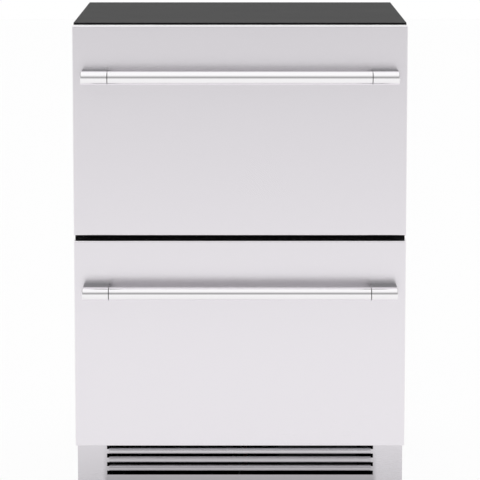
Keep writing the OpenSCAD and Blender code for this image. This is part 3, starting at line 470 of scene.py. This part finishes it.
# %% Finishes on the CAD pieces
FINISHES = {
    "stainless": steel, "dark_paint": dark_paint, "black_paint": black_paint,
    "zinc_steel": zinc, "white_plastic": white_plastic, "bin_plastic": bin_plastic,
    "dark_plastic": dark_plastic, "seal_rubber": rubber, "fin_aluminium": fins,
    "copper": copper, "foam": foam}

for piece in frame["record"]["subparts"]:
    mesh_object = NODES[piece["node"]]
    if not mesh_object.material_slots:
        mesh_object.data.materials.append(None)
    for material_slot in mesh_object.material_slots:
        material_slot.material = FINISHES[piece["material_slot"]]
for drawer in ("upper", "lower"):
    NODES[drawer + "_handle_bar"].material_slots[0].material = bar_steel
    NODES[drawer + "_handle_posts"].material_slots[0].material = post_metal
NODES["kick_plate"].material_slots[0].material = kick_steel
NODES["room_lamps"].material_slots[0].material = lamp_plastic

# %% [markdown]
# ## Surfaces from formulas
# The small pieces are surfaces worked out with numpy: a grid of points, each a function of its row
# and its column. The first helper joins such a grid with faces, and the second makes one object of
# several grids. It merges the points that fall together at poles and seams and turns the faces
# outwards.


# %% Surfaces from formulas
def surface(points, around=False, along=False):
    """Corners and faces of a grid. around joins its last column to its first, and along its last
    row to its first."""
    rows, columns = points.shape[:2]
    index = np.arange(rows * columns).reshape(rows, columns)
    if around:
        index = np.hstack([index, index[:, :1]])
    if along:
        index = np.vstack([index, index[:1]])
    faces = np.stack([index[:-1, :-1], index[1:, :-1], index[1:, 1:], index[:-1, 1:]], axis=-1)
    return points.reshape(-1, 3), faces.reshape(-1, 4)


def new_piece(name, surfaces, finish, body, sharp=35):
    """One object from several surfaces, which rides on a body. It is smooth but for edges over
    sharp degrees."""
    starts = np.cumsum([0] + [len(corners) for corners, _ in surfaces])
    corners = np.concatenate([corners for corners, _ in surfaces])
    faces = np.concatenate([quads + start for (_, quads), start in zip(surfaces, starts)])
    mesh = bpy.data.meshes.new(name)
    mesh.from_pydata(corners.tolist(), [], faces.tolist())
    shape = bmesh.new()
    shape.from_mesh(mesh)
    bmesh.ops.remove_doubles(shape, verts=shape.verts, dist=1e-7)
    bmesh.ops.recalc_face_normals(shape, faces=shape.faces)
    shape.to_mesh(mesh)
    shape.free()
    mesh.polygons.foreach_set("use_smooth", [True] * len(mesh.polygons))
    mesh.set_sharp_from_angle(angle=math.radians(sharp))
    mesh.materials.append(finish)
    made = bpy.data.objects.new(name, mesh)
    bpy.context.collection.objects.link(made)
    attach(made, body)
    print(name, "has", len(mesh.polygons), "faces")
    return made


# %% [markdown]
# ## Magnetic seals
# A drawer closes against its cabinet through a soft extrusion: a flat foot in the inner panel, two
# folds that give way, and a pocket for a magnet strip. It is one closed outline carried round the
# opening, with its corners rounded to the opening's radius. A point of the outline keeps its
# distance from the outer edge all the way round.

# %% Magnetic seals
SEAL_CORNER = 35 * MM
SEAL_OUTLINE = MM * np.array([
    (0, 0), (14, 0), (14, 1.0), (12.6, 1.7), (11.6, 2.4), (12.9, 3.0), (13.2, 3.9), (12.5, 4.7),
    (11.9, 5.1), (12.2, 6.2), (12.0, 7.3), (11.4, 7.7), (2.6, 7.7), (2.0, 7.3), (1.8, 6.2),
    (2.1, 5.1), (1.5, 4.7), (0.8, 3.9), (1.1, 3.0), (2.4, 2.4), (1.4, 1.7), (0, 1.0)])


def round_the_opening(outline, low, high, corner, steps=10):
    """A closed outline of (inwards, deep) carried round a rectangle with round corners. At angle t
    of a corner, a point lies at that corner's centre plus (corner - inwards) times (cos t, sin t),
    and deep behind low in Y."""
    angle = np.concatenate([np.linspace(k, k + 1, steps) * math.pi / 2 for k in range(4)])
    left, right = low[0] + corner, high[0] - corner
    bottom, top = low[2] + corner, high[2] - corner
    centre_x = np.repeat([right, left, left, right], steps)
    centre_z = np.repeat([top, top, bottom, bottom], steps)
    radius = corner - outline[:, 0]
    x = centre_x[:, None] + np.cos(angle)[:, None] * radius
    z = centre_z[:, None] + np.sin(angle)[:, None] * radius
    y = np.broadcast_to(low[1] + outline[:, 1], x.shape)
    return surface(np.stack([x, y, z], axis=-1), around=True, along=True)


for drawer in ("upper", "lower"):
    seal_low, seal_high = span(drawer + "_gasket")
    ring = round_the_opening(SEAL_OUTLINE, seal_low, seal_high, SEAL_CORNER)
    seal = new_piece(drawer + "_seal", [ring], rubber, drawer + "_drawer", sharp=50)
    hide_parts(drawer + "_gasket")

# %% [markdown]
# ## Back panel
# A wide thin sheet drums when the compressor runs, so shallow pockets are pressed into it and
# leave stiff beads between them. The sheet is a grid with its lines at the pockets' edges, and its
# depth is a profile along X times one along Z. Round the two holes for the anti-tip bracket a
# block of the grid is left out, and a ring from the block's edge to the hole takes its place.

# %% Back panel
POCKET_DEPTH = 0.9 * MM
POCKET_SLOPE = 3 * MM
POCKET_HALF_WIDTH = 225 * MM
POCKETS_LOW, POCKETS_HIGH = 300 * MM, 800 * MM
POCKET_COUNT = 6
BEAD_HALF = 10 * MM
HOLE_X, HOLE_Z, HOLE_R = 240 * MM, 845 * MM, 2.75 * MM
HOLE_BLOCK = 4.6 * MM
HOLE_STEPS = 16


def pressed(start, end, pockets, holes):
    """Grid lines along one axis, and how far the sheet is sunk at each: 0 outside a pocket, 1 in
    it, and straight between them across its slope."""
    slopes = [p for a, b in pockets for p in (a, a + POCKET_SLOPE, b - POCKET_SLOPE, b)]
    places = [start] + slopes + [end]
    sunk = [0] + [0, 1, 1, 0] * len(pockets) + [0]
    eighth = math.tan(math.pi / 8)
    block = HOLE_BLOCK * np.array([-1, -eighth, 0, eighth, 1])
    lines = np.union1d(places, np.concatenate([hole + block for hole in holes]))
    return lines, np.interp(lines, places, sunk)


def hole_ring(hole, low, high):
    """A ring round the hole at x = hole: from the square block to the round hole on the outer
    face, through the sheet, and back to the square on the inner face."""
    angle = np.arange(HOLE_STEPS) * 2 * math.pi / HOLE_STEPS
    round_hole = HOLE_R * np.stack([np.cos(angle), np.sin(angle)])
    square = round_hole / np.abs(round_hole).max(axis=0) * HOLE_BLOCK
    rows = [(square, high[1]), (round_hole, high[1]), (round_hole, low[1]), (square, low[1])]
    grid = np.stack([
        np.stack([hole + ring[0], np.full(HOLE_STEPS, y), HOLE_Z + ring[1]], axis=-1)
        for ring, y in rows])
    return surface(grid, around=True)


def beaded_sheet(low, high, pockets_x, pockets_z):
    """A sheet between two corners. Its outer face lies at high y - depth * sunk(x) * sunk(z)."""
    x, sunk_x = pressed(low[0], high[0], pockets_x, (-HOLE_X, HOLE_X))
    z, sunk_z = pressed(low[2], high[2], pockets_z, (HOLE_Z,))
    grid_x, grid_z = np.meshgrid(x, z)
    outer = np.stack([grid_x, high[1] - POCKET_DEPTH * np.outer(sunk_z, sunk_x), grid_z], axis=-1)
    inner = np.stack([grid_x, np.full_like(grid_x, low[1]), grid_z], axis=-1)
    sheet = []
    for face in (outer, inner):
        corners, quads = surface(face)
        middle = corners[quads].mean(axis=1)
        from_hole_x = np.abs(np.abs(middle[:, 0]) - HOLE_X)
        from_hole_z = np.abs(middle[:, 2] - HOLE_Z)
        in_block = (from_hole_x < HOLE_BLOCK) & (from_hole_z < HOLE_BLOCK)
        sheet.append((corners, quads[~in_block]))
    rims = [np.concatenate([g[0, :-1], g[:-1, -1], g[-1, :0:-1], g[:0:-1, 0]])
            for g in (outer, inner)]
    sheet.append(surface(np.stack(rims), around=True))
    return sheet + [hole_ring(hole, low, high) for hole in (-HOLE_X, HOLE_X)]


back_low, back_high = span("back_panel")
beads = np.linspace(POCKETS_LOW, POCKETS_HIGH, POCKET_COUNT + 1)
pockets_x = [(-POCKET_HALF_WIDTH, POCKET_HALF_WIDTH)]
pockets_z = [(below + BEAD_HALF, above - BEAD_HALF) for below, above in zip(beads, beads[1:])]
back_sheet = new_piece("back_sheet", beaded_sheet(back_low, back_high, pockets_x, pockets_z),
                       zinc, "cabinet", sharp=3)
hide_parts("back_panel")

# %% [markdown]
# ## Turned pieces
# Screws and feet are turned: a profile goes round an axis. A third number in each row of the
# profile squeezes the circle towards a hexagon, so one formula gives a washer, its hexagonal head
# and the dished top in a single skin.


# %% Turned pieces
def hexagon(angle):
    """Radius of a hexagon with corners at radius 1: cos 30 over the cosine of the angle to its
    nearest flat."""
    return math.cos(math.pi / 6) / np.cos(np.mod(angle, math.pi / 3) - math.pi / 6)


def turned(profile, centre, out, steps=24):
    """A profile of (radius, height, share of hexagon) in mm, turned about the direction out from
    centre. A point at angle t lies at radius * (1 - share + share * hexagon(t)) round the axis,
    and height along it."""
    radius, height = MM * profile[:, 0, None], MM * profile[:, 1, None, None]
    share = profile[:, 2, None]
    angle = np.linspace(0, 2 * math.pi, steps, endpoint=False)
    out = np.array(out, float)
    side = np.roll(out, 1)
    up = np.cross(out, side)
    reach = (radius * (1 - share + share * hexagon(angle)))[..., None]
    ring = np.cos(angle)[:, None] * side + np.sin(angle)[:, None] * up
    return surface(np.array(centre) + reach * ring + height * out, around=True)


HEX_SCREW = np.array([
    (0, -0.3, 0), (5.5, -0.3, 0), (5.5, 0.5, 0), (5.0, 1.0, 0), (4.3, 1.1, 1), (4.3, 3.4, 1),
    (3.7, 3.9, 0.3), (2.2, 4.0, 0), (1.6, 3.4, 0), (0, 3.4, 0)])
SCREW_PLACES = MM * np.array([
    (-282, 38), (-100, 38), (100, 38), (282, 38), (-282, 128), (282, 128), (-282, 219), (0, 219),
    (282, 219)])
cover_back = span("rear_cover")[1][1]
screws = [turned(HEX_SCREW, (x, cover_back, z), (0, 1, 0)) for x, z in SCREW_PLACES]
new_piece("rear_cover_screws", screws, zinc, "cabinet")

# %% [markdown]
# The inner member of each slide is riveted to its bracket. The rivets' domes lie in the member's
# hollow and show from the side once a drawer is out.

# %% Slide rivets
DOME_RIVET = np.array([
    (0, -0.3, 0), (4.5, -0.3, 0), (4.5, 0.3, 0), (4.0, 1.3, 0), (2.9, 2.0, 0), (1.4, 2.4, 0),
    (0, 2.5, 0)])
HOLLOW_DEPTH = 8.5 * MM
RIVETS_FROM_FRONT = MM * np.array([22, 100, 178, 256, 334])
for drawer in ("upper", "lower"):
    member_low, member_high = span(drawer + "_slide_inners")
    height = (member_low[2] + member_high[2]) / 2
    crown = member_high[0] - HOLLOW_DEPTH
    rivets = [turned(DOME_RIVET, (side * crown, y, height), (side, 0, 0), steps=16)
              for side in (-1, 1) for y in member_low[1] + RIVETS_FROM_FRONT]
    new_piece(drawer + "_slide_rivets", rivets, zinc, drawer + "_drawer")

# %% [markdown]
# ## Levelling feet
# A foot is a moulded pad with a hexagonal neck for the spanner, and a steel stud with an M10
# thread of 1.5 mm pitch. The thread is one grid: going round, the ridge climbs by one pitch a
# turn, so the radius depends on the height less the turned share of a pitch.

# %% Levelling feet
FOOT_PAD = np.array([
    (0, 0, 0), (17.6, 0, 0), (18.7, 0.6, 0), (19, 1.8, 0), (19, 3.9, 0), (18.2, 4.9, 0),
    (17, 5.2, 0), (10.6, 7.6, 0.2), (9, 8.2, 1), (9, 20.9, 1), (8.3, 22, 0.4), (4, 22, 0),
    (0, 22, 0)])
STUD_LOW = 20
THREAD_PITCH = 1.5
THREAD_CREST = 5.0
THREAD_DEPTH = 0.8


def threaded_stud(base, low, high, steps=20, samples=5):
    """A stud from height low to high in mm. Its radius is the crest less the depth times the
    distance, from 0 to 1, of (height / pitch - angle / turn) to the nearest crest. The first and
    last rows close it on the axis."""
    rows = int((high - low) / THREAD_PITCH * samples)
    height = np.linspace(low, high, rows)[:, None]
    angle = np.linspace(0, 2 * math.pi, steps, endpoint=False)
    phase = np.mod(height / THREAD_PITCH - angle / (2 * math.pi), 1)
    radius = THREAD_CREST - THREAD_DEPTH * (1 - np.abs(2 * phase - 1))
    radius[0] = radius[-1] = 0
    grid = np.stack([radius * np.cos(angle), radius * np.sin(angle), height + 0 * angle], axis=-1)
    return surface(np.array(base) + MM * grid, around=True)


for corner in ("front_left", "front_right", "rear_left", "rear_right"):
    foot_low, foot_high = span("foot_" + corner)
    base = np.array([*(foot_low[:2] + foot_high[:2]) / 2, 0])
    pad = new_piece("foot_pad_" + corner, [turned(FOOT_PAD, base, (0, 0, 1))],
                    dark_plastic, "foot_" + corner)
    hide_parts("foot_" + corner)
    new_piece("foot_stud_" + corner, [threaded_stud(base, STUD_LOW, foot_high[2] / MM)],
              zinc, "foot_" + corner)

# %% [markdown]
# ## Ribbed mats
# A soft mat lies on each floor of a bin, in two halves beside the divider. The lower bin has a
# raised step at its rear with a mat of its own. The ribs run from front to back. The grid has a
# column for each place across the mat and four rows: under and over the front edge, over and under
# the rear edge. The edges follow the bin's round corners.

# %% Ribbed mats
MAT_PITCH = 6.0
MAT_BASE = 1.0
MAT_RIB = 1.0
MAT_CORNER = 24.0
MAT_X = (5, 229)
MAT_Y = (-219.5, 168.5)
STEP_Y = (89, 99)
STEP_FLOOR = 281
BIN_THICKNESS = 3


def ribbed_mat(side, y0, y1, floor_z, round_ends):
    """Half a mat, all in mm, mirrored by side. Over it z is base + rib * |sin(pi x / pitch)|. At
    its outer side the front and rear edges draw in by r - sqrt(r^2 - d^2), with d how far the
    place lies into the round corner."""
    x0, x1 = MAT_X
    x = np.linspace(x0, x1, int((x1 - x0) / MAT_PITCH) * 6 + 1)
    into = np.clip(x - (x1 - MAT_CORNER), 0, MAT_CORNER)
    draw = MAT_CORNER - np.sqrt(MAT_CORNER ** 2 - into ** 2)
    front, rear = y0 + draw * round_ends[0], y1 - draw * round_ends[1]
    over = floor_z + MAT_BASE + MAT_RIB * np.abs(np.sin(math.pi * (x - x0) / MAT_PITCH))
    under = np.full_like(x, floor_z)
    over[[0, -1]] = floor_z
    rows = [(front, under), (front, over), (rear, over), (rear, under)]
    grid = np.stack([np.stack([side * x, y, z], axis=-1) for y, z in rows])
    return surface(MM * grid, along=True)


front_y, rear_y = MAT_Y
upper_floor = span("upper_bin")[0][2] / MM + BIN_THICKNESS
lower_floor = span("lower_bin")[0][2] / MM + BIN_THICKNESS
new_piece("upper_bin_mats",
          [ribbed_mat(side, front_y, rear_y, upper_floor, (1, 1)) for side in (-1, 1)],
          rubber, "upper_drawer", sharp=60)
new_piece("lower_bin_mats",
          [ribbed_mat(side, front_y, STEP_Y[0], lower_floor, (1, 1)) for side in (-1, 1)]
          + [ribbed_mat(side, STEP_Y[1], rear_y, STEP_FLOOR, (0, 1)) for side in (-1, 1)],
          rubber, "lower_drawer", sharp=60)

# %% [markdown]
# ## Floor and light
# A studio for such a product is a white sweep with large soft lamps. Polished metal shows its
# surroundings, so what stands round the object matters as much as the lamps: a darker band at the
# horizon gives the bars their dark line and shades the upper front, as in the photo. The camera
# itself sees plain white. It sees the white through the floor too, with a little of the floor's
# own shade on top, so a foot that is screwed out below the floor still shows.

# %% Floor
FLOOR_HALF = 12
SEEN_SHARE = 0.96
MIRRORED_SHARE = 0.5
floor_mesh = bpy.data.meshes.new("floor")
floor_mesh.from_pydata(
    [(-FLOOR_HALF, -FLOOR_HALF, 0), (FLOOR_HALF, -FLOOR_HALF, 0),
     (FLOOR_HALF, FLOOR_HALF, 0), (-FLOOR_HALF, FLOOR_HALF, 0)], [], [(0, 1, 2, 3)])
floor = bpy.data.objects.new("floor", floor_mesh)
bpy.context.collection.objects.link(floor)
floor_paint = Paint("floor", roughness=0.9, base_color=(0.9, 0.9, 0.9, 1))
shaded = Signal(floor_paint, floor_paint.shader.outputs[0])
seen = floor_paint.node("ShaderNodeLightPath", output="Is Camera Ray")
mirrored = floor_paint.node("ShaderNodeLightPath", output="Is Glossy Ray")
white = floor_paint.node("ShaderNodeEmission", inputs={"Color": (1, 1, 1, 1), "Strength": 1.0})
clear = floor_paint.node("ShaderNodeBsdfTransparent")
lit = floor_paint.node("ShaderNodeMixShader", inputs={
    0: mirrored * MIRRORED_SHARE, 1: shaded, 2: white})
both = floor_paint.node("ShaderNodeMixShader", inputs={0: seen * SEEN_SHARE, 1: lit, 2: clear})
floor_paint.tree.links.new(both.socket, floor_paint.output.inputs["Surface"])
floor_mesh.materials.append(floor_paint.material)
print("floor", 2 * FLOOR_HALF, "m wide")

# %% [markdown]
# The world is two ramps of grey over the height of a direction, from the horizon at 0 to the
# zenith at 1. One is the side behind the camera, which the fronts and bars mirror, and the other
# the side behind the object, which the flat top mirrors.


# %% World
def grey(level):
    """The same number for red, green and blue."""
    return (level,) * 3


CAMERA_SIDE = [
    (0.0, grey(0.58)), (0.13, grey(0.44)), (0.30, grey(0.32)), (0.58, grey(0.75)),
    (0.82, grey(1.0))]
FAR_SIDE = [
    (0.0, grey(1.0)), (0.12, grey(1.0)), (0.20, grey(0.42)), (0.40, grey(0.42)),
    (0.60, grey(0.75)), (0.92, grey(1.0))]
world = bpy.data.worlds.new("studio")
world.use_nodes = True
bpy.context.scene.world = world
studio = Bench(world.node_tree)
direction = studio.node("ShaderNodeTexCoord", output="Generated")
height = studio.node("ShaderNodeSeparateXYZ", inputs={0: direction}, output=2)
depth = studio.node("ShaderNodeSeparateXYZ", inputs={0: direction}, output=1)
near = studio.node("ShaderNodeValToRGB", {"stops": CAMERA_SIDE}, {0: height})
far = studio.node("ShaderNodeValToRGB", {"stops": FAR_SIDE}, {0: height})
dome = studio.between(studio.step(depth, -0.1, 0.5), near, far)
around = studio.node("ShaderNodeBackground", inputs={"Color": dome, "Strength": 1.0})
plain = studio.node("ShaderNodeBackground", inputs={"Color": (1, 1, 1, 1), "Strength": 1.0})
by_camera = studio.node("ShaderNodeLightPath", output="Is Camera Ray")
sky = studio.node("ShaderNodeMixShader", inputs={0: by_camera, 1: around, 2: plain})
world_out = studio.tree.nodes.new("ShaderNodeOutputWorld")
studio.tree.links.new(sky.socket, world_out.inputs["Surface"])
print("world", world.name, "with", len(CAMERA_SIDE), "and", len(FAR_SIDE), "greys")


# %% Lamps
def softbox(name, place, aim, size, power):
    """A square area lamp at place, turned to aim."""
    lamp_data = bpy.data.lights.new(name, "AREA")
    lamp_data.size = size
    lamp_data.energy = power
    lamp = bpy.data.objects.new(name, lamp_data)
    lamp.location = place
    lamp.rotation_euler = (Vector(aim) - Vector(place)).to_track_quat("-Z", "Y").to_euler()
    bpy.context.collection.objects.link(lamp)
    print("lamp", name, "with", power, "W")


SOFTBOX_SIZE = 1.8
middle = (cad_low + cad_high) / 2
softbox("key", (-1.8, -2.6, 2.6), middle, SOFTBOX_SIZE, 17)
softbox("fill", (2.0, -2.4, 2.2), middle, SOFTBOX_SIZE, 13)

# %% [markdown]
# ## Colour view
# The scene is shown through the Standard view transform.

# %% Colour view
bpy.context.scene.view_settings.view_transform = "Standard"
